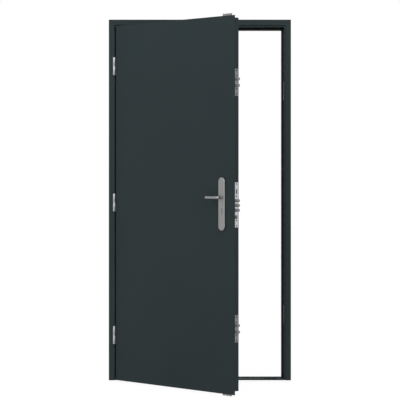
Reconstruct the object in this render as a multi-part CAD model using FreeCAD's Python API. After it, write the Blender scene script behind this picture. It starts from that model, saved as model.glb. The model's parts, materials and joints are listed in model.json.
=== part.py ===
import FreeCAD, Part
import math
import os

# Steel utility door: a folded steel frame with a threshold, a lipped sheet-steel leaf standing
# part open on three butt hinges, lever furniture, and a lock that throws bolts on three sides.
# Millimetres. +X is the lock side, +Y goes into the building, +Z is up. The origin is the middle
# of the frame's footprint, on the floor. Leaf pieces are drawn closed and then swung open.

# Frame
FRAME_WIDTH = 1020.0
FRAME_HEIGHT = 2020.0
FRAME_DEPTH = 90.0
FRAME_SHEET = 2.0
FACE_WIDTH = 31.0
SHELF_WIDTH = 8.0
SHELF_RECESS = 6.5
REBATE_DEPTH = 52.0
STOP_WIDTH = 12.8
HEAD_SHELF_WIDTH = 10.0
HEAD_STOP_WIDTH = 15.4
WALL_RETURN = 20.0
FIXING_HOLE_DIAMETER = 11.0
FIXING_INSET = 260.0
FIXINGS = 4

# Threshold
SILL_FRONT_HEIGHT = 8.0
SILL_REAR_HEIGHT = 11.5
SILL_SETBACK = 8.0

# Seal on the stop, clear of the keeps beside it
SEAL_HEIGHT = 5.0
SEAL_LIP = 2.0
SEAL_EDGE = 3.0
SEAL_CLEARANCE = 0.4

# Leaf
OPEN_ANGLE = 46.5
LEAF_GAP = 5.0
LEAF_THICKNESS = 42.0
LEAF_SHEET = 1.5
FLOOR_GAP = 3.0
LOCK_LIP = 14.0
TOP_LIP = 11.5
BOTTOM_LIP = 18.0

# Hinges: lift-off butts, a knuckle on the frame's wing below one on the leaf's wing
LOWER_HINGE_HEIGHT = 254.0
UPPER_HINGE_DROP = 262.0
MIDDLE_HINGE_RISE = -10.0
HINGE_LENGTH = 98.0
BARREL_DIAMETER = 14.0
BARREL_STANDOFF = 0.5
BARREL_INSET = 1.0
KNUCKLE_GAP = 1.5
HINGE_PIN_DIAMETER = 8.0
WING_SHEET = 2.0
WING_DEPTH = 38.0
RUNNING_CLEARANCE = 0.05
FIT_CLEARANCE = 0.02

# Locks and bolts
BOLT_DIAMETER = 16.0
BOLT_CLEARANCE = 0.3
BOLT_LINE = 23.0
SIDE_THROW = 18.0
TOP_THROW = 23.0
BOTTOM_THROW = 27.5
BOLT_TAIL = 22.0
CARRIER_THICKNESS = 6.0
FACEPLATE_WIDTH = 24.0
FACEPLATE_THICKNESS = 3.0
CASE_WIDTH = 20.0
CASE_SHEET = 1.5
CASE_REACH = 22.0
CARRIER_ROOM = 2.0
CUTOUT_CLEARANCE = 0.5

CENTRE_LOCK_HEIGHT = 994.0
CENTRE_LOCK_LENGTH = 235.0
CENTRE_BOLT_PITCH = 25.0
CENTRE_BOLT_OFFSET = -3.0
SNIB_SLOT_RISE = 70.0
SNIB_SLOT_LENGTH = 24.0
SNIB_SLOT_WIDTH = 10.0
UPPER_LOCK_DROP = 386.0
LOWER_LOCK_HEIGHT = 348.0
SIDE_LOCK_LENGTH = 142.0
SIDE_BOLT_PITCH = 34.0
END_BOLT_BACKSET = 65.0
END_BOLT_PITCH = 24.0
END_GUIDE_LENGTH = 100.0
END_PLATE_THICKNESS = 1.5

# Latch
LATCH_DROP = 64.0
LATCH_TALL = 18.0
LATCH_WIDE = 12.0
LATCH_PROJECTION = 11.0
LATCH_NOSE = 2.0
LATCH_TAIL = 40.0
LATCH_CLEARANCE = 0.3

# Keeps on the lock jamb; the side ones run on towards the middle of the door
KEEP_SHEET = 1.0
KEEP_EDGE = 2.0
SIDE_KEEP_LENGTH = 101.0
UPPER_KEEP_SHIFT = -12.0
LOWER_KEEP_SHIFT = 18.0
CENTRE_KEEP_LENGTH = 210.0
KEEP_MARGIN = 2.0

# Lever furniture
HANDLE_BACKSET = 79.0
LEVER_RISE = 38.0
PLATE_RISE = 4.0
PLATE_LENGTH = 280.0
PLATE_WIDTH = 46.0
PLATE_THICKNESS = 9.0
PLATE_EASE = 2.0
PLATE_RIM_TOLERANCE = 0.01
NECK_DIAMETER = 16.0
NECK_CLEARANCE = 0.3
NECK_COLLAR = 3.0
GRIP_TALL = 13.0
GRIP_THICKNESS = 10.0
GRIP_STANDOFF = 29.0
GRIP_LENGTH = 94.0
GRIP_BEND = 15.0
GRIP_EASE = 1.5
SPINDLE_SIZE = 8.0
SPINDLE_SEAT = 12.0
SPINDLE_CLEARANCE = 0.1
SPINDLE_HOLE = 20.0

# Key cylinder
CYLINDER_DROP = 66.0
CYLINDER_DIAMETER = 17.0
CYLINDER_STEM_WIDTH = 10.0
CYLINDER_TALL = 33.0
CYLINDER_PROUD = 1.5
CYLINDER_CLEARANCE = 0.3
PLUG_DIAMETER = 13.0
KEYWAY_WIDTH = 2.2
KEYWAY_TALL = 9.0
KEYWAY_DEPTH = 10.0

# Derived frame planes
LEFT = -FRAME_WIDTH / 2
RIGHT = FRAME_WIDTH / 2
FRONT = -FRAME_DEPTH / 2
REBATE_WIDTH = FACE_WIDTH + SHELF_WIDTH
STOP_REACH = REBATE_WIDTH + STOP_WIDTH
HEAD_REBATE = FACE_WIDTH + HEAD_SHELF_WIDTH
HEAD_REACH = HEAD_REBATE + HEAD_STOP_WIDTH
SEAL_WIDTH = STOP_WIDTH - SEAL_EDGE - KEEP_SHEET - SEAL_CLEARANCE
SEAL_MIDDLE = STOP_REACH - SEAL_EDGE - SEAL_WIDTH / 2
HEAD_SEAL_MIDDLE = HEAD_REACH - SEAL_EDGE - SEAL_WIDTH / 2
SEAL_FACE = FRONT + REBATE_DEPTH

# Derived leaf planes, drawn closed
LEAF_LEFT = LEFT + FACE_WIDTH + LEAF_GAP
LEAF_RIGHT = RIGHT - FACE_WIDTH - LEAF_GAP
LEAF_TOP = FRAME_HEIGHT - FACE_WIDTH - LEAF_GAP
LEAF_BOTTOM = FLOOR_GAP
LEAF_BACK = FRONT + LEAF_THICKNESS
SKIN_BACK = FRONT + LEAF_SHEET
CORE_RIGHT = LEAF_RIGHT - LOCK_LIP
CORE_TOP = LEAF_TOP - TOP_LIP
CORE_BOTTOM = LEAF_BOTTOM + BOTTOM_LIP
BOLT_Y = FRONT + BOLT_LINE
END_BOLT_X = CORE_RIGHT - END_BOLT_BACKSET

# Derived lock and lever places
UPPER_LOCK_HEIGHT = FRAME_HEIGHT - UPPER_LOCK_DROP
LATCH_HEIGHT = CENTRE_LOCK_HEIGHT - LATCH_DROP
LEVER_HEIGHT = CENTRE_LOCK_HEIGHT + LEVER_RISE
PLATE_HEIGHT = CENTRE_LOCK_HEIGHT + PLATE_RISE
CYLINDER_HEIGHT = LEVER_HEIGHT - CYLINDER_DROP
HANDLE_X = CORE_RIGHT - HANDLE_BACKSET
SLOT_HALF = BOLT_DIAMETER / 2 + KEEP_MARGIN

# Derived hinge line
BARREL_RADIUS = BARREL_DIAMETER / 2
AXIS_X = LEFT + FACE_WIDTH - BARREL_INSET
AXIS_Y = FRONT - BARREL_RADIUS - BARREL_STANDOFF
UPPER_HINGE_HEIGHT = FRAME_HEIGHT - UPPER_HINGE_DROP
HINGE_HEIGHTS = {
    "lower": LOWER_HINGE_HEIGHT,
    "middle": (LOWER_HINGE_HEIGHT + UPPER_HINGE_HEIGHT) / 2 + MIDDLE_HINGE_RISE,
    "upper": UPPER_HINGE_HEIGHT,
}

X_AXIS = FreeCAD.Vector(1, 0, 0)
Y_AXIS = FreeCAD.Vector(0, 1, 0)
Z_AXIS = FreeCAD.Vector(0, 0, 1)


def box(x0, x1, y0, y1, z0, z1):
    corner = FreeCAD.Vector(x0, y0, z0)
    return Part.makeBox(x1 - x0, y1 - y0, z1 - z0, corner)


def rod(radius, length, start, direction):
    return Part.makeCylinder(radius, length, start, direction)


def prism(points, along):
    """A solid from a closed outline of points, drawn out along a vector."""
    outline = Part.makePolygon(points + points[:1])
    return Part.Face(outline).extrude(along)


def spread(count, pitch):
    """Offsets of equally spaced places about a middle."""
    return [(i - (count - 1) / 2) * pitch for i in range(count)]


def joined(shapes):
    first, *rest = shapes
    return first.multiFuse(rest).removeSplitter() if rest else first


# Frame sections: w runs in from the wall side, d runs back from the front face.
def section_path(shelf, stop):
    """The visible surface of a frame member, from its front return round to its back return."""
    rebate = FACE_WIDTH + shelf
    reach = rebate + stop
    step = [(FACE_WIDTH, SHELF_RECESS), (rebate, SHELF_RECESS)] if shelf else []
    path = [(0.0, WALL_RETURN), (0.0, 0.0), (FACE_WIDTH, 0.0)]
    path += step
    path += [(rebate, REBATE_DEPTH), (reach, REBATE_DEPTH), (reach, FRAME_DEPTH)]
    path += [(0.0, FRAME_DEPTH), (0.0, FRAME_DEPTH - WALL_RETURN)]
    return path


def jamb_path(side):
    """The lock jamb has the shelf that the leaf's lip closes over; the hinge jamb has none."""
    return section_path(SHELF_WIDTH, STOP_WIDTH) if side > 0 else section_path(0.0, STOP_REACH - FACE_WIDTH)


def inner_path(path, thickness):
    """The path moved to its left by the sheet's thickness, for square folds."""
    normals = []
    for (w0, d0), (w1, d1) in zip(path, path[1:]):
        length = math.hypot(w1 - w0, d1 - d0)
        normals.append((-(d1 - d0) / length, (w1 - w0) / length))
    moved = []
    for i, (w, d) in enumerate(path):
        near = normals[max(i - 1, 0):i + 1]
        shift_w = sum(n[0] for n in near)
        shift_d = sum(n[1] for n in near)
        moved.append((w + thickness * shift_w, d + thickness * shift_d))
    return moved


def sheet_outline(path, thickness):
    return path + inner_path(path, thickness)[::-1]


def jamb_points(outline, side):
    """A section's points on the floor, for the hinge jamb (side -1) or lock jamb (side 1)."""
    return [FreeCAD.Vector(side * (RIGHT - w), FRONT + d, 0) for w, d in outline]


def jamb_envelope(side):
    return prism(jamb_points(jamb_path(side), side), Z_AXIS * FRAME_HEIGHT)


def fixing_holes(side):
    y = FRONT + (REBATE_DEPTH + FRAME_DEPTH) / 2
    start = side * (RIGHT - STOP_REACH - FRAME_SHEET)
    radius = FIXING_HOLE_DIAMETER / 2
    pitch = (FRAME_HEIGHT - 2 * FIXING_INSET) / (FIXINGS - 1)
    return [
        rod(radius, 3 * FRAME_SHEET, FreeCAD.Vector(start, y, FRAME_HEIGHT / 2 + z), X_AXIS * side)
        for z in spread(FIXINGS, pitch)
    ]


def jamb(side):
    path = jamb_path(side)
    wall = prism(jamb_points(sheet_outline(path, FRAME_SHEET), side), Z_AXIS * FRAME_HEIGHT)
    cap = prism(jamb_points(path, side), Z_AXIS * FRAME_SHEET)
    cap.translate(Z_AXIS * (FRAME_HEIGHT - FRAME_SHEET))
    return joined([wall, cap]).cut(fixing_holes(side))


def lock_jamb():
    return jamb(1).cut(side_bolt_slots() + [latch_hole()])


def head():
    outline = sheet_outline(section_path(HEAD_SHELF_WIDTH, HEAD_STOP_WIDTH), FRAME_SHEET)
    points = [FreeCAD.Vector(LEFT, FRONT + d, FRAME_HEIGHT - w) for w, d in outline]
    member = prism(points, X_AXIS * FRAME_WIDTH)
    return member.cut([jamb_envelope(-1), jamb_envelope(1), end_bolt_slot(CORE_TOP)])


def threshold():
    """A low closed section whose rear half stands a step higher, notched round the jambs."""
    front = FRONT + SILL_SETBACK
    step = FRONT + REBATE_DEPTH
    back = FRONT + FRAME_DEPTH
    outer = [(front, 0.0), (back, 0.0), (back, SILL_REAR_HEIGHT), (step, SILL_REAR_HEIGHT)]
    outer += [(step, SILL_FRONT_HEIGHT), (front, SILL_FRONT_HEIGHT)]
    sheet = FRAME_SHEET
    rear_top = SILL_REAR_HEIGHT - sheet
    front_top = SILL_FRONT_HEIGHT - sheet
    inner = [(front + sheet, sheet), (back - sheet, sheet), (back - sheet, rear_top)]
    inner += [(step + sheet, rear_top), (step + sheet, front_top), (front + sheet, front_top)]
    solids = [
        prism([FreeCAD.Vector(LEFT, y, z) for y, z in ring], X_AXIS * FRAME_WIDTH)
        for ring in (outer, inner)
    ]
    section = solids[0].cut(solids[1])
    return section.cut([jamb_envelope(-1), jamb_envelope(1), end_bolt_slot(CORE_BOTTOM)])


def seal_outline():
    """A bulb seal on its base: (across, out) from the middle of the seal on the stop face."""
    half = SEAL_WIDTH / 2
    bulb = SEAL_HEIGHT - SEAL_LIP
    return [(-half, 0.0), (half, 0.0), (half, SEAL_LIP), (bulb, SEAL_HEIGHT), (-bulb, SEAL_HEIGHT),
            (-half, SEAL_LIP)]


def jamb_seal(side):
    middle = side * (RIGHT - SEAL_MIDDLE)
    points = [FreeCAD.Vector(middle + a, SEAL_FACE - o, SILL_REAR_HEIGHT) for a, o in seal_outline()]
    top = FRAME_HEIGHT - HEAD_SEAL_MIDDLE + SEAL_WIDTH / 2
    return prism(points, Z_AXIS * (top - SILL_REAR_HEIGHT))


def head_seal():
    middle = FRAME_HEIGHT - HEAD_SEAL_MIDDLE
    inset = SEAL_MIDDLE + SEAL_WIDTH / 2
    points = [FreeCAD.Vector(LEFT + inset, SEAL_FACE - o, middle + a) for a, o in seal_outline()]
    return prism(points, X_AXIS * (FRAME_WIDTH - 2 * inset))


# Bolt places, shared by the bolts, their guides and the slots in the frame.
def side_bolt_heights():
    centre = CENTRE_LOCK_HEIGHT + CENTRE_BOLT_OFFSET
    return {
        "centre": [centre + dz for dz in spread(3, CENTRE_BOLT_PITCH)],
        "upper": [UPPER_LOCK_HEIGHT + dz for dz in spread(2, SIDE_BOLT_PITCH)],
        "lower": [LOWER_LOCK_HEIGHT + dz for dz in spread(2, SIDE_BOLT_PITCH)],
    }


def side_bolt_slots():
    """One slot for each lock's bolts, through the keep and the lock jamb's rebate wall."""
    wall = RIGHT - REBATE_WIDTH
    return [
        box(wall - KEEP_SHEET, wall + FRAME_SHEET, BOLT_Y - SLOT_HALF, BOLT_Y + SLOT_HALF,
            min(heights) - SLOT_HALF, max(heights) + SLOT_HALF)
        for heights in side_bolt_heights().values()
    ]


def end_bolt_slot(core_edge):
    """A slot for the top or bottom bolts, from the leaf's edge out past the frame member."""
    up = core_edge > FRAME_HEIGHT / 2
    low = core_edge if up else -FRAME_SHEET
    high = core_edge + HEAD_REBATE - FRAME_SHEET if up else core_edge
    half_long = END_BOLT_PITCH + SLOT_HALF
    return box(END_BOLT_X - half_long, END_BOLT_X + half_long, BOLT_Y - SLOT_HALF, BOLT_Y + SLOT_HALF,
               low, high)


def latch_hole():
    half_wide = LATCH_WIDE / 2 + KEEP_MARGIN
    half_tall = LATCH_TALL / 2 + KEEP_MARGIN
    wall = RIGHT - REBATE_WIDTH
    return box(wall - KEEP_SHEET, wall + FRAME_SHEET, BOLT_Y - half_wide, BOLT_Y + half_wide,
               LATCH_HEIGHT - half_tall, LATCH_HEIGHT + half_tall)


# Keeps: thin plates on the lock jamb's rebate wall.
def keep_plate(middle, length):
    wall = RIGHT - REBATE_WIDTH
    return box(wall - KEEP_SHEET, wall, FRONT + SHELF_RECESS + KEEP_EDGE, FRONT + REBATE_DEPTH,
               middle - length / 2, middle + length / 2)


def side_keep(middle):
    return keep_plate(middle, SIDE_KEEP_LENGTH).cut(side_bolt_slots())


def centre_keep():
    plate = keep_plate(CENTRE_LOCK_HEIGHT, CENTRE_KEEP_LENGTH)
    return plate.cut(side_bolt_slots() + [latch_hole()])


# Leaf sheets
def handle_holes():
    """Square holes behind the handle plates for the spindle and the key cylinder."""
    half = SPINDLE_HOLE / 2
    wide = CYLINDER_DIAMETER / 2 + CUTOUT_CLEARANCE
    top = CYLINDER_HEIGHT + wide
    bottom = CYLINDER_HEIGHT + CYLINDER_DIAMETER / 2 - CYLINDER_TALL - CUTOUT_CLEARANCE
    spindle = box(HANDLE_X - half, HANDLE_X + half, FRONT, LEAF_BACK, LEVER_HEIGHT - half,
                  LEVER_HEIGHT + half)
    return [spindle, box(HANDLE_X - wide, HANDLE_X + wide, FRONT, LEAF_BACK, bottom, top)]


def front_skin():
    sheet = box(LEAF_LEFT, LEAF_RIGHT, FRONT, SKIN_BACK, LEAF_BOTTOM, LEAF_TOP)
    return sheet.cut(handle_holes())


def back_tray():
    """The pan behind the skin: four folded edges and the back sheet, cut for the locks."""
    t = LEAF_SHEET
    outer = box(LEAF_LEFT, CORE_RIGHT, SKIN_BACK, LEAF_BACK, CORE_BOTTOM, CORE_TOP)
    inner = box(LEAF_LEFT + t, CORE_RIGHT - t, SKIN_BACK, LEAF_BACK - t, CORE_BOTTOM + t, CORE_TOP - t)
    cutouts = [lock_cutout(*lock) for lock in side_lock_sizes().values()]
    cutouts += [end_cutout(CORE_TOP, t), end_cutout(CORE_BOTTOM, t)]
    return outer.cut([inner] + cutouts + handle_holes())


def side_lock_sizes():
    return {
        "centre": (CENTRE_LOCK_HEIGHT, CENTRE_LOCK_LENGTH),
        "upper": (UPPER_LOCK_HEIGHT, SIDE_LOCK_LENGTH),
        "lower": (LOWER_LOCK_HEIGHT, SIDE_LOCK_LENGTH),
    }


def case_length(length):
    """A lock case is shorter than its faceplate by the plate's width, for the end screws."""
    return length - FACEPLATE_WIDTH


def lock_cutout(middle, length):
    half_wide = CASE_WIDTH / 2 + CUTOUT_CLEARANCE
    half_tall = case_length(length) / 2 + CUTOUT_CLEARANCE
    return box(CORE_RIGHT - LEAF_SHEET, CORE_RIGHT, BOLT_Y - half_wide, BOLT_Y + half_wide,
               middle - half_tall, middle + half_tall)


def end_cutout(edge, sheet):
    half_wide = CASE_WIDTH / 2 + CUTOUT_CLEARANCE
    half_long = case_length(END_GUIDE_LENGTH) / 2 + CUTOUT_CLEARANCE
    return box(END_BOLT_X - half_long, END_BOLT_X + half_long, BOLT_Y - half_wide,
               BOLT_Y + half_wide, edge - sheet, edge + sheet)


def guide_depth(throw):
    """Room behind a faceplate for the bolt tails and their carrier, drawn right back."""
    return 2 * throw + BOLT_TAIL + CARRIER_THICKNESS + CARRIER_ROOM + CASE_SHEET


def centre_case_depth():
    """The centre case reaches past the key cylinder."""
    return HANDLE_BACKSET + CYLINDER_DIAMETER / 2 + CASE_REACH


# Lock cases and bolts are drawn along +X about the origin, then put on the leaf's edges.
def lock_case(length, depth, plate, offsets):
    """A faceplate with a hollow case behind it and a hole for each bolt."""
    half = length / 2
    case_half = case_length(length) / 2
    wide = CASE_WIDTH / 2
    t = CASE_SHEET
    face = box(0, plate, -FACEPLATE_WIDTH / 2, FACEPLATE_WIDTH / 2, -half, half)
    case = box(-depth, 0, -wide, wide, -case_half, case_half)
    hollow = box(-depth + t, 0, -wide + t, wide - t, -case_half + t, case_half - t)
    radius = BOLT_DIAMETER / 2 + BOLT_CLEARANCE
    holes = [rod(radius, plate, FreeCAD.Vector(0, 0, z), X_AXIS) for z in offsets]
    return joined([face, case.cut(hollow)]).cut(holes)


def bolt_set(throw, plate, offsets):
    """Round bolts on one carrier plate, shown thrown."""
    radius = BOLT_DIAMETER / 2
    tail = throw + BOLT_TAIL
    length = tail + plate + throw
    bolts = [rod(radius, length, FreeCAD.Vector(-tail, 0, z), X_AXIS) for z in offsets]
    reach = max(offsets) + radius
    carrier = box(-tail - CARRIER_THICKNESS, -tail, -radius, radius, -reach, reach)
    return joined(bolts + [carrier])


def on_lock_edge(shape, height):
    shape.translate(FreeCAD.Vector(CORE_RIGHT, BOLT_Y, height))
    return shape


def on_end_edge(shape, edge):
    """Turned to point up from the leaf's top edge, or down from its bottom edge."""
    turn = -90 if edge == CORE_TOP else 90
    shape.rotate(FreeCAD.Vector(0, 0, 0), Y_AXIS, turn)
    shape.translate(FreeCAD.Vector(END_BOLT_X, BOLT_Y, edge))
    return shape


def side_lock(name):
    middle, length = side_lock_sizes()[name]
    offsets = [z - middle for z in side_bolt_heights()[name]]
    depth = centre_case_depth() if name == "centre" else guide_depth(SIDE_THROW)
    lock = on_lock_edge(lock_case(length, depth, FACEPLATE_THICKNESS, offsets), middle)
    centre_holes = handle_holes() + [latch_shape(LATCH_CLEARANCE), snib_slot()]
    return lock.cut(centre_holes) if name == "centre" else lock


def snib_slot():
    """A slot through the centre faceplate, above the bolts."""
    middle = CENTRE_LOCK_HEIGHT + SNIB_SLOT_RISE
    half_wide = SNIB_SLOT_WIDTH / 2
    half_tall = SNIB_SLOT_LENGTH / 2
    return box(CORE_RIGHT, CORE_RIGHT + FACEPLATE_THICKNESS, BOLT_Y - half_wide, BOLT_Y + half_wide,
               middle - half_tall, middle + half_tall)


def side_bolts(name):
    middle, _ = side_lock_sizes()[name]
    offsets = [z - middle for z in side_bolt_heights()[name]]
    return on_lock_edge(bolt_set(SIDE_THROW, FACEPLATE_THICKNESS, offsets), middle)


def end_guide(edge, throw):
    places = spread(3, END_BOLT_PITCH)
    guide = lock_case(END_GUIDE_LENGTH, guide_depth(throw), END_PLATE_THICKNESS, places)
    return on_end_edge(guide, edge)


def end_bolts(edge, throw):
    bolts = bolt_set(throw, END_PLATE_THICKNESS, spread(3, END_BOLT_PITCH))
    return on_end_edge(bolts, edge)


def latch_shape(grow):
    """A spring latch, bevelled on the side that meets the frame first."""
    half = LATCH_WIDE / 2 + grow
    face = CORE_RIGHT + FACEPLATE_THICKNESS
    tip = face + LATCH_PROJECTION
    tail = CORE_RIGHT - LATCH_TAIL
    points = [(tail, -half), (tip, -half), (tip, -half + LATCH_NOSE), (face, half), (tail, half)]
    base = LATCH_HEIGHT - LATCH_TALL / 2 - grow
    outline = [FreeCAD.Vector(x, BOLT_Y + y, base) for x, y in points]
    return prism(outline, Z_AXIS * (LATCH_TALL + 2 * grow))


# Lever furniture: (side -1) outside, (side 1) inside.
def leaf_face(side):
    return FRONT if side < 0 else LEAF_BACK


def handle_plate(side):
    """A long plate with round ends and eased edges, bored for the lever and the key cylinder."""
    radius = PLATE_WIDTH / 2
    straight = PLATE_LENGTH / 2 - radius
    face = leaf_face(side)
    out = Y_AXIS * (side * PLATE_THICKNESS)
    low = FreeCAD.Vector(HANDLE_X, face, PLATE_HEIGHT - straight)
    high = FreeCAD.Vector(HANDLE_X, face, PLATE_HEIGHT + straight)
    across = X_AXIS * radius
    up = Z_AXIS * radius
    edges = [
        Part.Arc(high - across, high + up, high + across).toShape(),
        Part.makeLine(high + across, low + across),
        Part.Arc(low + across, low - up, low - across).toShape(),
        Part.makeLine(low - across, high - across),
    ]
    plate = Part.Face(Part.Wire(edges)).extrude(out)
    front = face + side * PLATE_THICKNESS
    rim = [e for e in plate.Edges
           if abs(e.BoundBox.YMin - front) + abs(e.BoundBox.YMax - front) < PLATE_RIM_TOLERANCE]
    plate = plate.makeChamfer(PLATE_EASE, rim)
    neck = rod(NECK_DIAMETER / 2 + NECK_CLEARANCE, PLATE_THICKNESS,
               FreeCAD.Vector(HANDLE_X, face, LEVER_HEIGHT), Y_AXIS * side)
    y0, y1 = sorted((face, front))
    return plate.cut([neck, cylinder_profile(y0, y1, CYLINDER_CLEARANCE)])


def lever_outline(side):
    """The lever seen from above: out from the plate, round the bend and along the grip."""
    half = GRIP_THICKNESS / 2
    root = PLATE_THICKNESS
    crest = PLATE_THICKNESS + GRIP_STANDOFF + half
    under = crest - GRIP_THICKNESS
    near = HANDLE_X + half
    far = HANDLE_X - half
    tip = near - GRIP_LENGTH
    inner_bend = GRIP_BEND - GRIP_THICKNESS
    lean = 1 - math.sqrt(0.5)

    def at(x, out):
        return FreeCAD.Vector(x, leaf_face(side) + side * out, LEVER_HEIGHT - GRIP_TALL / 2)

    outer_bend = Part.Arc(
        at(near, crest - GRIP_BEND),
        at(near - GRIP_BEND * lean, crest - GRIP_BEND * lean),
        at(near - GRIP_BEND, crest),
    )
    under_bend = Part.Arc(
        at(far - inner_bend, under),
        at(far - inner_bend * lean, under - inner_bend * lean),
        at(far, under - inner_bend),
    )
    return Part.Wire([
        Part.makeLine(at(near, root), at(near, crest - GRIP_BEND)),
        outer_bend.toShape(),
        Part.makeLine(at(near - GRIP_BEND, crest), at(tip, crest)),
        Part.makeLine(at(tip, crest), at(tip, under)),
        Part.makeLine(at(tip, under), at(far - inner_bend, under)),
        under_bend.toShape(),
        Part.makeLine(at(far, under - inner_bend), at(far, root)),
        Part.makeLine(at(far, root), at(near, root)),
    ])


def lever(side):
    """A flat bar with eased edges, bent from a round neck that turns in the plate."""
    face = leaf_face(side)
    bar = Part.Face(lever_outline(side)).extrude(Z_AXIS * GRIP_TALL)
    rims = [e for e in bar.Edges if e.BoundBox.ZLength < GRIP_TALL / 2]
    bar = bar.makeChamfer(GRIP_EASE, rims)
    neck = rod(NECK_DIAMETER / 2, PLATE_THICKNESS + NECK_COLLAR,
               FreeCAD.Vector(HANDLE_X, face, LEVER_HEIGHT), Y_AXIS * side)
    seat = SPINDLE_SIZE / 2 + SPINDLE_CLEARANCE
    y0, y1 = sorted((face, face + side * (SPINDLE_SEAT + SPINDLE_CLEARANCE)))
    socket = box(HANDLE_X - seat, HANDLE_X + seat, y0, y1, LEVER_HEIGHT - seat, LEVER_HEIGHT + seat)
    return joined([bar, neck]).cut(socket)


def spindle():
    half = SPINDLE_SIZE / 2
    return box(HANDLE_X - half, HANDLE_X + half, FRONT - SPINDLE_SEAT, LEAF_BACK + SPINDLE_SEAT,
               LEVER_HEIGHT - half, LEVER_HEIGHT + half)


def cylinder_profile(y0, y1, grow):
    """The keyhole outline of a profile cylinder: a round barrel on a narrower round-footed stem."""
    centre = FreeCAD.Vector(HANDLE_X, y0, CYLINDER_HEIGHT)
    half = CYLINDER_STEM_WIDTH / 2
    foot = CYLINDER_TALL - CYLINDER_DIAMETER / 2 - half
    barrel = rod(CYLINDER_DIAMETER / 2 + grow, y1 - y0, centre, Y_AXIS)
    stem = box(HANDLE_X - half - grow, HANDLE_X + half + grow, y0, y1, CYLINDER_HEIGHT - foot,
               CYLINDER_HEIGHT)
    base = rod(half + grow, y1 - y0, centre - Z_AXIS * foot, Y_AXIS)
    return joined([barrel, stem, base])


def cylinder_ends():
    proud = PLATE_THICKNESS + CYLINDER_PROUD
    return FRONT - proud, LEAF_BACK + proud


def cylinder_body():
    y0, y1 = cylinder_ends()
    bore = rod(PLUG_DIAMETER / 2 + RUNNING_CLEARANCE, y1 - y0,
               FreeCAD.Vector(HANDLE_X, y0, CYLINDER_HEIGHT), Y_AXIS)
    return cylinder_profile(y0, y1, 0.0).cut(bore)


def cylinder_plug():
    y0, y1 = cylinder_ends()
    plug = rod(PLUG_DIAMETER / 2, y1 - y0, FreeCAD.Vector(HANDLE_X, y0, CYLINDER_HEIGHT), Y_AXIS)
    half_wide = KEYWAY_WIDTH / 2
    half_tall = KEYWAY_TALL / 2
    keyways = [
        box(HANDLE_X - half_wide, HANDLE_X + half_wide, y, y + KEYWAY_DEPTH,
            CYLINDER_HEIGHT - half_tall, CYLINDER_HEIGHT + half_tall)
        for y in (y0, y1 - KEYWAY_DEPTH)
    ]
    return plug.cut(keyways)


# Hinges: wings lie in the gap between the hinge jamb and the leaf's edge.
def knuckle(middle, upper, grow):
    """The lower or upper knuckle, or the clear space round it where grow is more than nothing."""
    length = (HINGE_LENGTH - KNUCKLE_GAP) / 2
    bottom = middle + KNUCKLE_GAP / 2 if upper else middle - HINGE_LENGTH / 2
    start = FreeCAD.Vector(AXIS_X, AXIS_Y, bottom - grow)
    return rod(BARREL_RADIUS + grow, length + 2 * grow, start, Z_AXIS)


def pin_rod(middle, grow):
    start = FreeCAD.Vector(AXIS_X, AXIS_Y, middle - HINGE_LENGTH / 2)
    return rod(HINGE_PIN_DIAMETER / 2 + grow, HINGE_LENGTH, start, Z_AXIS)


def hinge_wing(middle, x0, upper, bore):
    """A wing plate with its knuckle rolled at its front edge, cut clear of the other knuckle."""
    half = HINGE_LENGTH / 2
    plate = box(x0, x0 + WING_SHEET, AXIS_Y, FRONT + WING_DEPTH, middle - half, middle + half)
    plate = plate.cut(knuckle(middle, not upper, KNUCKLE_GAP))
    return joined([plate, knuckle(middle, upper, 0)]).cut(pin_rod(middle, bore))


def frame_wing(middle):
    return hinge_wing(middle, LEFT + FACE_WIDTH, False, FIT_CLEARANCE)


def leaf_wing(middle):
    return hinge_wing(middle, LEAF_LEFT - WING_SHEET, True, RUNNING_CLEARANCE)


def fixed_pieces():
    pieces = {
        "hinge_jamb": jamb(-1),
        "lock_jamb": lock_jamb(),
        "head": head(),
        "threshold": threshold(),
        "hinge_seal": jamb_seal(-1),
        "lock_seal": jamb_seal(1),
        "head_seal": head_seal(),
        "upper_keep": side_keep(UPPER_LOCK_HEIGHT + UPPER_KEEP_SHIFT),
        "centre_keep": centre_keep(),
        "lower_keep": side_keep(LOWER_LOCK_HEIGHT + LOWER_KEEP_SHIFT),
    }
    for name, middle in HINGE_HEIGHTS.items():
        pieces[f"{name}_hinge_frame_wing"] = frame_wing(middle)
        pieces[f"{name}_hinge_pin"] = pin_rod(middle, 0.0)
    return pieces


def swinging_pieces():
    pieces = {
        "front_skin": front_skin(),
        "back_tray": back_tray(),
        "outside_plate": handle_plate(-1),
        "inside_plate": handle_plate(1),
        "outside_lever": lever(-1),
        "inside_lever": lever(1),
        "spindle": spindle(),
        "cylinder_body": cylinder_body(),
        "cylinder_plug": cylinder_plug(),
        "latch": latch_shape(0.0),
        "top_bolt_guide": end_guide(CORE_TOP, TOP_THROW),
        "top_bolts": end_bolts(CORE_TOP, TOP_THROW),
        "bottom_bolt_guide": end_guide(CORE_BOTTOM, BOTTOM_THROW),
        "bottom_bolts": end_bolts(CORE_BOTTOM, BOTTOM_THROW),
    }
    for name in side_lock_sizes():
        pieces[f"{name}_lock"] = side_lock(name)
        pieces[f"{name}_bolts"] = side_bolts(name)
    for name, middle in HINGE_HEIGHTS.items():
        pieces[f"{name}_hinge_leaf_wing"] = leaf_wing(middle)
    return pieces


def swung_open(shape):
    shape.rotate(FreeCAD.Vector(AXIS_X, AXIS_Y, 0), Z_AXIS, -OPEN_ANGLE)
    return shape


os.makedirs("parts", exist_ok=True)
nodes = fixed_pieces()
nodes.update({name: swung_open(shape) for name, shape in swinging_pieces().items()})
for name, shape in nodes.items():
    shape.exportStep(f"parts/{name}.step")
    print(name, len(shape.Solids), shape.isValid(), round(shape.Volume / 1000, 1))
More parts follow.
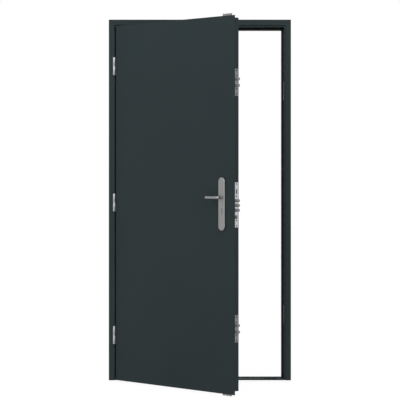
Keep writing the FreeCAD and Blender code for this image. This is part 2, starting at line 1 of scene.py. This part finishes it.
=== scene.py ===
"""Looks for the steel utility door: paint, rubber and steel finishes, and its small fasteners."""
import json
import math

import bmesh
import bpy
from mathutils import Matrix, Vector


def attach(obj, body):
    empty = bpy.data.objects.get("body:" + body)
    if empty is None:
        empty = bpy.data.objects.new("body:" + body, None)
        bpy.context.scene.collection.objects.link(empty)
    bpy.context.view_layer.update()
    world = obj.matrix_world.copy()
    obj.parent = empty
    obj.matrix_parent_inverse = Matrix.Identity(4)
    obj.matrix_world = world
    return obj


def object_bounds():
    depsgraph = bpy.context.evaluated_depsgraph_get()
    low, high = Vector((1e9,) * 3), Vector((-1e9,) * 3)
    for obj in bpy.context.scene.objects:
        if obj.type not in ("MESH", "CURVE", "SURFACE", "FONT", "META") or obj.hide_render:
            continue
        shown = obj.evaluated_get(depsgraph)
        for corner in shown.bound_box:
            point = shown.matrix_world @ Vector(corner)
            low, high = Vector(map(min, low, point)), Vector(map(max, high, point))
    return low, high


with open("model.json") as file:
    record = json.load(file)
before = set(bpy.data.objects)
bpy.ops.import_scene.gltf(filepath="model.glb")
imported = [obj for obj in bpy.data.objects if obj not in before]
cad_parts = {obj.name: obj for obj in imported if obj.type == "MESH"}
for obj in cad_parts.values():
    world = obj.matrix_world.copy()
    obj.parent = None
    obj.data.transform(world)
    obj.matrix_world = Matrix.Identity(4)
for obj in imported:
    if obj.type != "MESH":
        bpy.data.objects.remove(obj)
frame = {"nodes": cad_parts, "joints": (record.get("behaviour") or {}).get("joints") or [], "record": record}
CAD_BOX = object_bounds()

# Camera, worked out from the photograph: it is level, and its axis meets the image above the middle
IMAGE_SIZE = 400
FOCAL_PIXELS = 1757.3
SENSOR_WIDTH = 36.0
CAMERA_PLACE = (0.0, -9.8854, 1.1527)
AXIS_PIXEL = (199.88, 174.49)
VIEW_REACH = 100.0

# Stage: to the camera the floor is a mix of its own glow and, by SHADOW_SHARE, of its lit surface.
# The two come to 1, which is white, where no shadow falls.
FLOOR_DROP = 0.001
FLOOR_SIZE = 60.0
FLOOR_COLOUR = (0.96, 0.96, 0.96, 1.0)
FLOOR_ROUGHNESS = 0.9
FLOOR_GLOW = 1.08
SHADOW_SHARE = 0.14
WORLD_COLOUR = (1.0, 1.0, 1.0, 1.0)
AMBIENT = 0.25

# Screws, in metres. Each ring of a head or its recess is a share of the radius and a share of SCREW_PROUD.
SCREW_RADIUS = 0.0042
SCREW_PROUD = 0.0004
SCREW_HEAD = ((1.0, -1.0), (1.0, 0.0), (0.9, 0.7))
SCREW_RECESS = ((0.62, 1.0), (0.45, 0.2))
RECESS_ARM = 0.96
RECESS_WAIST = 0.36
ROUND_SIDES = 24
END_SCREW_INSET = 0.008
KEEP_SCREW_INSET = 0.009
KEEP_SCREW_STEP = 0.018
PLATE_SCREW_INSET = 0.022
HINGE_SCREW_COUNT = 3
HINGE_SCREW_INSET = 0.012
HINGE_SCREW_STAGGER = 0.010
SIDE_LOCK_SCREWS = (0.061, 0.0335, -0.0335, -0.061)
LOCK_SCREWS = {
    "centre_lock": (0.1095, 0.044, -0.082, -0.1095),
    "upper_lock": SIDE_LOCK_SCREWS,
    "lower_lock": SIDE_LOCK_SCREWS,
}

# Hinge trim, in metres. A cap's rings are a radius and a rise over the pin's end.
HINGES = ("lower", "middle", "upper")
CAP_PROFILE = ((0.0055, -0.0004), (0.0055, 0.0004), (0.0049, 0.0009), (0.0034, 0.0012), (0.0014, 0.0013))
WASHER_RADIUS = 0.0068
WASHER_BORE = 0.0043
WASHER_EASE = 0.0003
WASHER_HALF = 0.0007
WING_END_BAND = 0.001

# The slider in the centre lock's slot, in metres
SNIB_RISE = 0.070
SNIB_DEPTH = 0.003
SNIB_OUTLINE = (0.0046, 0.0085)
SNIB_RIDGES = 7
SNIB_RIDGE = 0.0004

# Softened edges on the solids, in metres
STEEL_EDGE = 0.0008
EDGES = {"painted_steel": 0.0012, "bolt_steel": 0.0015}
EDGE_SEGMENTS = 2
EDGE_ANGLE = math.radians(40)
WELD_REACH = 1e-6

# The middle range of a noise texture, which its tones are spread over
NOISE_LOW = 0.3
NOISE_HIGH = 0.7


def swing_matrix():
    """Takes a point of the closed leaf to its place at rest."""
    joint = next(j for j in frame["joints"] if j["name"] == "leaf_swing")
    pivot = Vector(joint["pos_m"])
    turn = Matrix.Rotation(-math.radians(joint["range_deg"][0]), 4, Vector(joint["axis"]))
    return Matrix.Translation(pivot) @ turn @ Matrix.Translation(-pivot)


SWING = swing_matrix()
STILL = Matrix.Identity(4)


def node_points(node, turn):
    """A node's points before the turn that brought it to rest."""
    back = turn.inverted()
    return [back @ v.co for v in frame["nodes"][node].data.vertices]


def node_box(node, turn):
    """A node's lowest and highest corners before the turn that brought it to rest."""
    points = node_points(node, turn)
    low = Vector(min(p[i] for p in points) for i in range(3))
    high = Vector(max(p[i] for p in points) for i in range(3))
    return low, high


# Materials
class Shader:
    """A node material with one principled shader, and short ways to add to it."""

    def __init__(self, name):
        self.material = bpy.data.materials.new(name)
        self.material.use_nodes = True
        self.tree = self.material.node_tree
        self.surface = self.tree.nodes["Principled BSDF"]
        self.coordinates = self.add("ShaderNodeTexCoord").outputs["Object"]

    def add(self, kind, **settings):
        node = self.tree.nodes.new(kind)
        for key, value in settings.items():
            setattr(node, key, value)
        return node

    def link(self, start, end):
        self.tree.links.new(start, end)

    def set(self, **values):
        """Sets sockets of the principled shader by name, such as specular_ior_level."""
        for key, value in values.items():
            socket = key.replace("_", " ").title().replace("Ior", "IOR")
            self.surface.inputs[socket].default_value = value

    def noise(self, scale, detail=2.0, stretch=(1.0, 1.0, 1.0)):
        """A noise texture's value over the object, finer along the axes with the larger stretch."""
        mapping = self.add("ShaderNodeMapping")
        mapping.inputs["Scale"].default_value = stretch
        self.link(self.coordinates, mapping.inputs["Vector"])
        texture = self.add("ShaderNodeTexNoise")
        texture.inputs["Scale"].default_value = scale
        texture.inputs["Detail"].default_value = detail
        self.link(mapping.outputs["Vector"], texture.inputs["Vector"])
        return texture.outputs["Fac"]

    def between(self, fac, low, high):
        """A number that runs from low to high as the texture runs through its middle range."""
        ranged = self.add("ShaderNodeMapRange")
        ranged.inputs["From Min"].default_value = NOISE_LOW
        ranged.inputs["From Max"].default_value = NOISE_HIGH
        ranged.inputs["To Min"].default_value = low
        ranged.inputs["To Max"].default_value = high
        self.link(fac, ranged.inputs["Value"])
        return ranged.outputs["Result"]

    def colour(self, fac, dark, light):
        mix = self.add("ShaderNodeMix", data_type="RGBA")
        mix.inputs["A"].default_value = (*dark, 1.0)
        mix.inputs["B"].default_value = (*light, 1.0)
        self.link(self.between(fac, 0.0, 1.0), mix.inputs["Factor"])
        self.link(mix.outputs["Result"], self.surface.inputs["Base Color"])

    def roughness(self, fac, low, high):
        self.link(self.between(fac, low, high), self.surface.inputs["Roughness"])

    def bump(self, fac, strength, distance):
        bump = self.add("ShaderNodeBump")
        bump.inputs["Strength"].default_value = strength
        bump.inputs["Distance"].default_value = distance
        self.link(fac, bump.inputs["Height"])
        self.link(bump.outputs["Normal"], self.surface.inputs["Normal"])


def painted_steel():
    """Anthracite powder coat: low sheen, a fine orange-peel grain and slight cloudiness."""
    shader = Shader("painted_steel")
    shader.set(metallic=0.0, specular_ior_level=0.08)
    shader.colour(shader.noise(2.5, 3.0), (0.0248, 0.0360, 0.0392), (0.0272, 0.0386, 0.0420))
    shader.roughness(shader.noise(40.0, 4.0), 0.56, 0.60)
    shader.bump(shader.noise(1100.0), strength=0.10, distance=0.0003)
    return shader.material


def trodden_shaded_paint():
    """The same coat on the threshold, scuffed dull by feet; its tones are set darker than the coat's, as
    painted shade against the sheen the sill catches at a grazing view.
    """
    shader = Shader("trodden_shaded_paint")
    shader.set(metallic=0.0, specular_ior_level=0.05)
    scuffs = shader.noise(30.0, 5.0, stretch=(1.0, 4.0, 1.0))
    # Both tones sit below the coat's: painted shade; the noise spreads them as scuffs.
    shader.colour(scuffs, (0.0185, 0.0275, 0.0300), (0.0220, 0.0320, 0.0345))
    shader.roughness(shader.noise(60.0, 4.0), 0.66, 0.76)
    shader.bump(shader.noise(700.0), strength=0.14, distance=0.0003)
    return shader.material


def seal_rubber():
    """Black rubber, matt with a fine grain."""
    shader = Shader("seal_rubber")
    shader.set(metallic=0.0, specular_ior_level=0.2)
    shader.colour(shader.noise(60.0, 3.0), (0.006, 0.006, 0.006), (0.010, 0.010, 0.010))
    shader.roughness(shader.noise(25.0), 0.6, 0.75)
    shader.bump(shader.noise(900.0), strength=0.2, distance=0.0003)
    return shader.material


def brushed_metal(name, dark, light, rough, stretch):
    """Steel brushed along its length: fine streaks in tone, roughness and relief."""
    shader = Shader(name)
    shader.set(metallic=1.0)
    brushing = shader.noise(1.0, 3.0, stretch)
    shader.colour(brushing, dark, light)
    shader.roughness(brushing, *rough)
    shader.bump(brushing, strength=0.06, distance=0.0002)
    return shader.material


def mottled_metal(name, dark, light, rough, metallic=1.0):
    """Zinc-plated or plain steel with a faint mottle; less metallic where the surface is dull."""
    shader = Shader(name)
    shader.set(metallic=metallic)
    mottle = shader.noise(220.0, 4.0)
    shader.colour(mottle, dark, light)
    shader.roughness(mottle, *rough)
    shader.bump(shader.noise(1400.0), strength=0.05, distance=0.0002)
    return shader.material


# Metals: a darker and a lighter tone, the range of roughness, and a stretch for brushed ones
BRUSHED = {
    "satin_steel": ((0.245, 0.244, 0.243), (0.302, 0.300, 0.298), (0.32, 0.46), (900.0, 900.0, 14.0)),
    "hinge_steel": ((0.36, 0.37, 0.38), (0.41, 0.42, 0.43), (0.40, 0.48), (700.0, 700.0, 6.0)),
}
MOTTLED = {
    "plated_steel": ((0.19, 0.195, 0.20), (0.25, 0.255, 0.26), (0.30, 0.44)),
    "bright_plate": ((0.45, 0.47, 0.48), (0.57, 0.59, 0.60), (0.28, 0.40)),
    # The bolt steel's dark tone is painted shade on the top bolts, which are bright zinc; it also damps the
    # lamps' highlights on them.
    "bolt_steel": ((0.115, 0.115, 0.115), (0.165, 0.165, 0.165), (0.40, 0.52)),
    "black_screw": ((0.020, 0.020, 0.020), (0.045, 0.045, 0.045), (0.35, 0.50)),
}
# A paler, less metallic copy of the bolt steel for the side and centre bolts and the latch: painted light,
# as they are the same steel as the top bolts.
DULL_BOLT = ((0.21, 0.21, 0.21), (0.28, 0.28, 0.28), (0.48, 0.60))
DULL_METALLIC = 0.35

MATERIALS = {maker.__name__: maker() for maker in (painted_steel, trodden_shaded_paint, seal_rubber)}
MATERIALS.update({name: brushed_metal(name, *look) for name, look in BRUSHED.items()})
MATERIALS.update({name: mottled_metal(name, *look) for name, look in MOTTLED.items()})
MATERIALS["bolt_lit_paler"] = mottled_metal("bolt_lit_paler", *DULL_BOLT, DULL_METALLIC)

# Nodes whose finish differs from their material slot's. The threshold's darker tone and the bolts' and
# latch's paler tones are painted shade and painted light.
FINISH_OF = {
    "threshold": "trodden_shaded_paint",
    "centre_lock": "bright_plate",
    # The side and centre bolts and the latch take the paler copy of the bolt steel: painted light.
    "centre_bolts": "bolt_lit_paler",
    "upper_bolts": "bolt_lit_paler",
    "lower_bolts": "bolt_lit_paler",
    # The bottom bolts take the brighter plated finish: painted light that lifts them out of the shade under
    # the leaf's bottom edge; they are the same steel as the other bolts.
    "bottom_bolts": "plated_steel",
    "latch": "bolt_lit_paler",
    "upper_keep": "bolt_steel",
    "lower_keep": "bolt_steel",
}
SLOT_OF = {part["node"]: part["material_slot"] for part in frame["record"]["subparts"]}


def add_weld(piece, name):
    weld = piece.modifiers.new(name, "WELD")
    weld.merge_threshold = WELD_REACH


def finish_node(node):
    """The node's own finish, and edges softened as a fold or a machined corner is."""
    piece = frame["nodes"][node]
    slot = SLOT_OF[node]
    piece.data.materials.clear()
    piece.data.materials.append(MATERIALS[FINISH_OF.get(node, slot)])
    add_weld(piece, "weld")
    bevel = piece.modifiers.new("edges", "BEVEL")
    bevel.width = EDGES.get(slot, STEEL_EDGE)
    bevel.segments = EDGE_SEGMENTS
    bevel.limit_method = "ANGLE"
    bevel.angle_limit = EDGE_ANGLE
    bevel.harden_normals = True
    add_weld(piece, "join")


for node_name in frame["nodes"]:
    finish_node(node_name)


# Small fasteners
def add_rings(bm, rings, place, closed=False):
    """A closed skin over rings of points: capped at both ends, or joined round to the first ring."""
    loops = [[bm.verts.new(place @ Vector(p)) for p in ring] for ring in rings]
    nexts = loops[1:] + loops[:1] if closed else loops[1:]
    for lower, upper in zip(loops, nexts):
        for i in range(len(lower)):
            j = (i + 1) % len(lower)
            bm.faces.new((lower[i], lower[j], upper[j], upper[i]))
    if not closed:
        bm.faces.new(loops[0])
        bm.faces.new(loops[-1])


def circle(radius, height):
    steps = [2 * math.pi * i / ROUND_SIDES for i in range(ROUND_SIDES)]
    return [(radius * math.cos(a), radius * math.sin(a), height) for a in steps]


def cross(radius, height):
    """A four-armed recess outline with as many points as a circle has."""
    waist = RECESS_WAIST * radius
    points = []
    for x, y, z in circle(1.0, height):
        reach = radius if max(abs(x), abs(y)) > RECESS_ARM else waist
        points.append((x * reach, y * reach, z))
    return points


def add_screw(bm, place):
    """A raised head with a cross recess that ends above the plate; local Z points out of the plate."""
    rings = [circle(share * SCREW_RADIUS, rise * SCREW_PROUD) for share, rise in SCREW_HEAD]
    rings += [cross(share * SCREW_RADIUS, rise * SCREW_PROUD) for share, rise in SCREW_RECESS]
    add_rings(bm, rings, place)


def facing(point, direction):
    """A placement at a point with local Z along a direction."""
    turn = Vector(direction).to_track_quat("Z", "Y").to_matrix().to_4x4()
    return Matrix.Translation(point) @ turn


def make_piece(name, bm, body, slot, finish=None):
    """Turns a mesh under way into a piece that rides a body, in its slot's finish or another."""
    mesh = bpy.data.meshes.new(name)
    bmesh.ops.recalc_face_normals(bm, faces=bm.faces)
    bm.to_mesh(mesh)
    bm.free()
    mesh.shade_smooth()
    mesh.set_sharp_from_angle(angle=EDGE_ANGLE)
    mesh.materials.append(MATERIALS[finish or slot])
    piece = bpy.data.objects.new(name, mesh)
    bpy.context.scene.collection.objects.link(piece)
    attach(piece, body)


def screws(name, places, body, slot, turn=STILL, finish=None):
    """One piece of several screws; each place is a point and the way its head faces."""
    bm = bmesh.new()
    for point, direction in places:
        add_screw(bm, turn @ facing(point, direction))
    make_piece(name, bm, body, slot, finish)


def lock_screws(lock):
    """Screws down the middle of a faceplate on the lock edge."""
    low, high = node_box(lock, SWING)
    across = (low.y + high.y) / 2
    middle = (low.z + high.z) / 2
    places = [((high.x, across, middle + rise), (1, 0, 0)) for rise in LOCK_SCREWS[lock]]
    screws(f"{lock}_screws", places, "leaf", "bolt_steel", SWING, "black_screw")


def snib():
    """A ridged slider in the slot above the bolts, flush with the faceplate."""
    low, high = node_box("centre_lock", SWING)
    face = high.x - SNIB_RIDGE
    across = (low.y + high.y) / 2
    middle = (low.z + high.z) / 2 + SNIB_RISE
    half_wide, half_tall = SNIB_OUTLINE
    steps = 2 * SNIB_RIDGES
    profile = [(face - SNIB_DEPTH, middle - half_tall)]
    for i in range(steps + 1):
        crest = face if i % 2 else face - SNIB_RIDGE
        profile.append((crest, middle - half_tall + 2 * half_tall * i / steps))
    profile.append((face - SNIB_DEPTH, middle + half_tall))
    bm = bmesh.new()
    sides = [[bm.verts.new(SWING @ Vector((x, across + y, z))) for x, z in profile]
             for y in (-half_wide, half_wide)]
    for i in range(len(profile)):
        j = (i + 1) % len(profile)
        bm.faces.new((sides[0][i], sides[0][j], sides[1][j], sides[1][i]))
    for side in sides:
        bm.faces.new(side)
    make_piece("centre_lock_snib", bm, "leaf", "bolt_steel")


def guide_screws(guide, up):
    """A screw at each end of a bolt guide on the leaf's top or bottom edge."""
    low, high = node_box(guide, SWING)
    middle = (low.y + high.y) / 2
    face = high.z if up > 0 else low.z
    ends = (low.x + END_SCREW_INSET, high.x - END_SCREW_INSET)
    places = [((x, middle, face), (0, 0, up)) for x in ends]
    screws(f"{guide}_screws", places, "leaf", "plated_steel", SWING)


def keep_screws(keep):
    """Two screws: at both ends of the centre keep, and beyond the slots of the two others."""
    low, high = node_box(keep, STILL)
    middle = (low.y + high.y) / 2
    bottom = low.z + KEEP_SCREW_INSET
    top = high.z - KEEP_SCREW_INSET
    heights = {
        "upper_keep": (bottom, bottom + KEEP_SCREW_STEP),
        "centre_keep": (bottom, top),
        "lower_keep": (top - KEEP_SCREW_STEP, top),
    }[keep]
    places = [((low.x, middle, z), (-1, 0, 0)) for z in heights]
    screws(f"{keep}_screws", places, "frame", SLOT_OF[keep])


def hinge_screws(hinge):
    """Screws in each wing, staggered, with their heads towards the other wing."""
    for part, body, turn, way in (("frame", "frame", STILL, 1), ("leaf", "leaf", SWING, -1)):
        wing = f"{hinge}_hinge_{part}_wing"
        low, high = node_box(wing, turn)
        pitch = (high.z - low.z) / HINGE_SCREW_COUNT
        end = [p.x for p in node_points(wing, turn) if p.y > high.y - WING_END_BAND]
        face = max(end) if way > 0 else min(end)
        places = []
        for i in range(HINGE_SCREW_COUNT):
            depth = high.y - HINGE_SCREW_INSET - HINGE_SCREW_STAGGER * (i % 2)
            places.append(((face, depth, low.z + pitch * (i + 0.5)), (way, 0, 0)))
        screws(f"{wing}_screws", places, body, "hinge_steel", turn)


def hinge_trim(hinge):
    """Domed caps on the pin's ends, and a washer between the two knuckles."""
    low, high = node_box(f"{hinge}_hinge_pin", STILL)
    x, y, middle = (low + high) / 2
    bm = bmesh.new()
    dome = [circle(radius, rise) for radius, rise in CAP_PROFILE]
    add_rings(bm, dome, facing((x, y, high.z), (0, 0, 1)))
    add_rings(bm, dome, facing((x, y, low.z), (0, 0, -1)))
    make_piece(f"{hinge}_hinge_caps", bm, "frame", "hinge_steel")
    bm = bmesh.new()
    section = [(WASHER_BORE, -1.0), (WASHER_RADIUS - WASHER_EASE, -1.0), (WASHER_RADIUS, -0.5),
               (WASHER_RADIUS, 0.5), (WASHER_RADIUS - WASHER_EASE, 1.0), (WASHER_BORE, 1.0)]
    rings = [circle(radius, WASHER_HALF * level) for radius, level in section]
    add_rings(bm, rings, Matrix.Translation((x, y, middle)), closed=True)
    make_piece(f"{hinge}_hinge_washer", bm, "frame", "hinge_steel")


def plate_screws():
    """The inside plate carries the two screws that clamp both plates to the leaf."""
    low, high = node_box("inside_plate", SWING)
    middle = (low.x + high.x) / 2
    heights = (low.z + PLATE_SCREW_INSET, high.z - PLATE_SCREW_INSET)
    places = [((middle, high.y, z), (0, 1, 0)) for z in heights]
    screws("inside_plate_screws", places, "leaf", "satin_steel", SWING)


for lock in LOCK_SCREWS:
    lock_screws(lock)
snib()
guide_screws("top_bolt_guide", 1)
guide_screws("bottom_bolt_guide", -1)
for keep in ("upper_keep", "centre_keep", "lower_keep"):
    keep_screws(keep)
for hinge in HINGES:
    hinge_screws(hinge)
    hinge_trim(hinge)
plate_screws()


# Stage
def background_flag(tree):
    """One for camera, glossy and transmission rays, nothing for the light that falls on the object."""
    path = tree.nodes.new("ShaderNodeLightPath")
    total = None
    for ray in ("Is Camera Ray", "Is Glossy Ray", "Is Transmission Ray"):
        if total is None:
            total = path.outputs[ray]
            continue
        either = tree.nodes.new("ShaderNodeMath")
        either.operation = "MAXIMUM"
        tree.links.new(total, either.inputs[0])
        tree.links.new(path.outputs[ray], either.inputs[1])
        total = either.outputs["Value"]
    return total


def make_world():
    """White behind the object and in its reflections, and a weak even light on it."""
    world = bpy.data.worlds.new("studio")
    world.use_nodes = True
    tree = world.node_tree
    background = tree.nodes["Background"]
    background.inputs["Color"].default_value = WORLD_COLOUR
    level = tree.nodes.new("ShaderNodeMapRange")
    level.inputs["To Min"].default_value = AMBIENT
    level.inputs["To Max"].default_value = 1.0
    tree.links.new(background_flag(tree), level.inputs["Value"])
    tree.links.new(level.outputs["Result"], background.inputs["Strength"])
    bpy.context.scene.world = world


def floor_material():
    """White to the camera, but for the share of the lit surface that carries the shadow."""
    material = bpy.data.materials.new("floor")
    material.use_nodes = True
    tree = material.node_tree
    matt = tree.nodes["Principled BSDF"]
    matt.inputs["Base Color"].default_value = FLOOR_COLOUR
    matt.inputs["Roughness"].default_value = FLOOR_ROUGHNESS
    matt.inputs["Specular IOR Level"].default_value = 0.0
    glow = tree.nodes.new("ShaderNodeEmission")
    glow.inputs["Strength"].default_value = FLOOR_GLOW
    share = tree.nodes.new("ShaderNodeMath")
    share.operation = "MULTIPLY"
    share.inputs[1].default_value = 1.0 - SHADOW_SHARE
    tree.links.new(background_flag(tree), share.inputs[0])
    mix = tree.nodes.new("ShaderNodeMixShader")
    tree.links.new(share.outputs["Value"], mix.inputs["Fac"])
    tree.links.new(matt.outputs["BSDF"], mix.inputs[1])
    tree.links.new(glow.outputs["Emission"], mix.inputs[2])
    tree.links.new(mix.outputs["Shader"], tree.nodes["Material Output"].inputs["Surface"])
    return material


def make_floor():
    """A wide floor just below the thrown bolts."""
    bm = bmesh.new()
    half = FLOOR_SIZE / 2
    height = CAD_BOX[0].z - FLOOR_DROP
    corners = [(-half, -half), (half, -half), (half, half), (-half, half)]
    bm.faces.new([bm.verts.new((x, y, height)) for x, y in corners])
    mesh = bpy.data.meshes.new("floor")
    bm.to_mesh(mesh)
    bm.free()
    mesh.materials.append(floor_material())
    floor = bpy.data.objects.new("floor", mesh)
    bpy.context.scene.collection.objects.link(floor)


def add_sun(name, azimuth, elevation, spread, strength):
    """A broad soft light from a direction, in degrees: azimuth runs from the camera's side towards +X."""
    light = bpy.data.lights.new(name, "SUN")
    light.angle = math.radians(spread)
    light.energy = strength
    lamp = bpy.data.objects.new(name, light)
    lamp.rotation_euler = (math.radians(90 - elevation), 0.0, math.radians(azimuth))
    bpy.context.scene.collection.objects.link(lamp)


def add_lamp(name, place, target, size, watts):
    """A round lamp at a place, turned towards a target."""
    light = bpy.data.lights.new(name, "AREA")
    light.shape = "DISK"
    light.size = size
    light.energy = watts
    lamp = bpy.data.objects.new(name, light)
    lamp.location = place
    lamp.rotation_euler = (Vector(target) - Vector(place)).to_track_quat("-Z", "Y").to_euler()
    bpy.context.scene.collection.objects.link(lamp)


def make_camera():
    data = bpy.data.cameras.new("camera")
    data.sensor_width = SENSOR_WIDTH
    data.lens = FOCAL_PIXELS * SENSOR_WIDTH / IMAGE_SIZE
    data.shift_x = 0.5 - AXIS_PIXEL[0] / IMAGE_SIZE
    data.shift_y = AXIS_PIXEL[1] / IMAGE_SIZE - 0.5
    data.clip_end = VIEW_REACH
    camera = bpy.data.objects.new("camera", data)
    camera.location = CAMERA_PLACE
    camera.rotation_euler = (math.radians(90), 0.0, 0.0)
    bpy.context.scene.collection.objects.link(camera)
    bpy.context.scene.camera = camera


make_world()
make_floor()
add_sun("front", azimuth=4, elevation=26, spread=50, strength=1.2)
add_lamp("left", place=(-2.8, -1.8, 3.6), target=(-0.1, -0.4, 1.8), size=2.2, watts=34.0)
add_lamp("right", place=(0.9, -2.4, 3.4), target=(0.4, 0.0, 2.0), size=1.8, watts=18.0)
add_sun("back", azimuth=170, elevation=17, spread=60, strength=1.1)
make_camera()
bpy.context.scene.view_settings.view_transform = "Standard"
